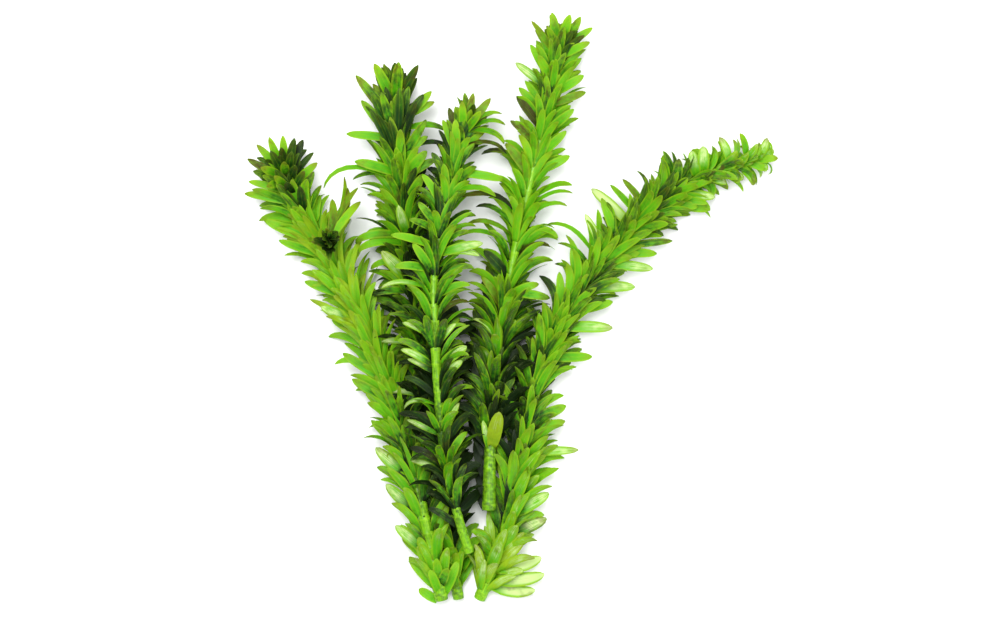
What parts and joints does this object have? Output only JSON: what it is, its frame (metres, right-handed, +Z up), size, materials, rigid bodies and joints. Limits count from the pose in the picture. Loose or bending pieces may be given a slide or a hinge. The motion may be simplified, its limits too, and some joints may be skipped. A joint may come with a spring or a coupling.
{
  "type": "elodea cuttings",
  "caption": "Cut elodea for an aquarium: leafy stems gathered at their cut ends and fanned out, lying on a surface.",
  "frame": {"origin": "centre of the bunch's footprint, on the surface it lies on", "axes": "+Y from the cut ends towards the tips, +Z up from the surface, +X towards the cutting that bends outwards"},
  "size_m": [0.1907, 0.2133, 0.0355],
  "materials": {
    "stem": "pale green, smooth and wet",
    "leaves": "bright green, thin and slightly glossy",
    "tip": "yellow-green, thin and slightly glossy"
  },
  "bodies": {
    "root": {"far_left_stem": "stem", "far_left_leaves": "leaves", "far_left_tip": "tip", "mid_left_stem": "stem", "mid_left_leaves": "leaves", "mid_left_tip": "tip", "centre_stem": "stem", "centre_leaves": "leaves", "centre_tip": "tip", "mid_right_stem": "stem", "mid_right_leaves": "leaves", "mid_right_tip": "tip", "far_right_stem": "stem", "far_right_leaves": "leaves", "far_right_tip": "tip", "side_shoot_tip": "tip"}
  },
  "joints": []
}
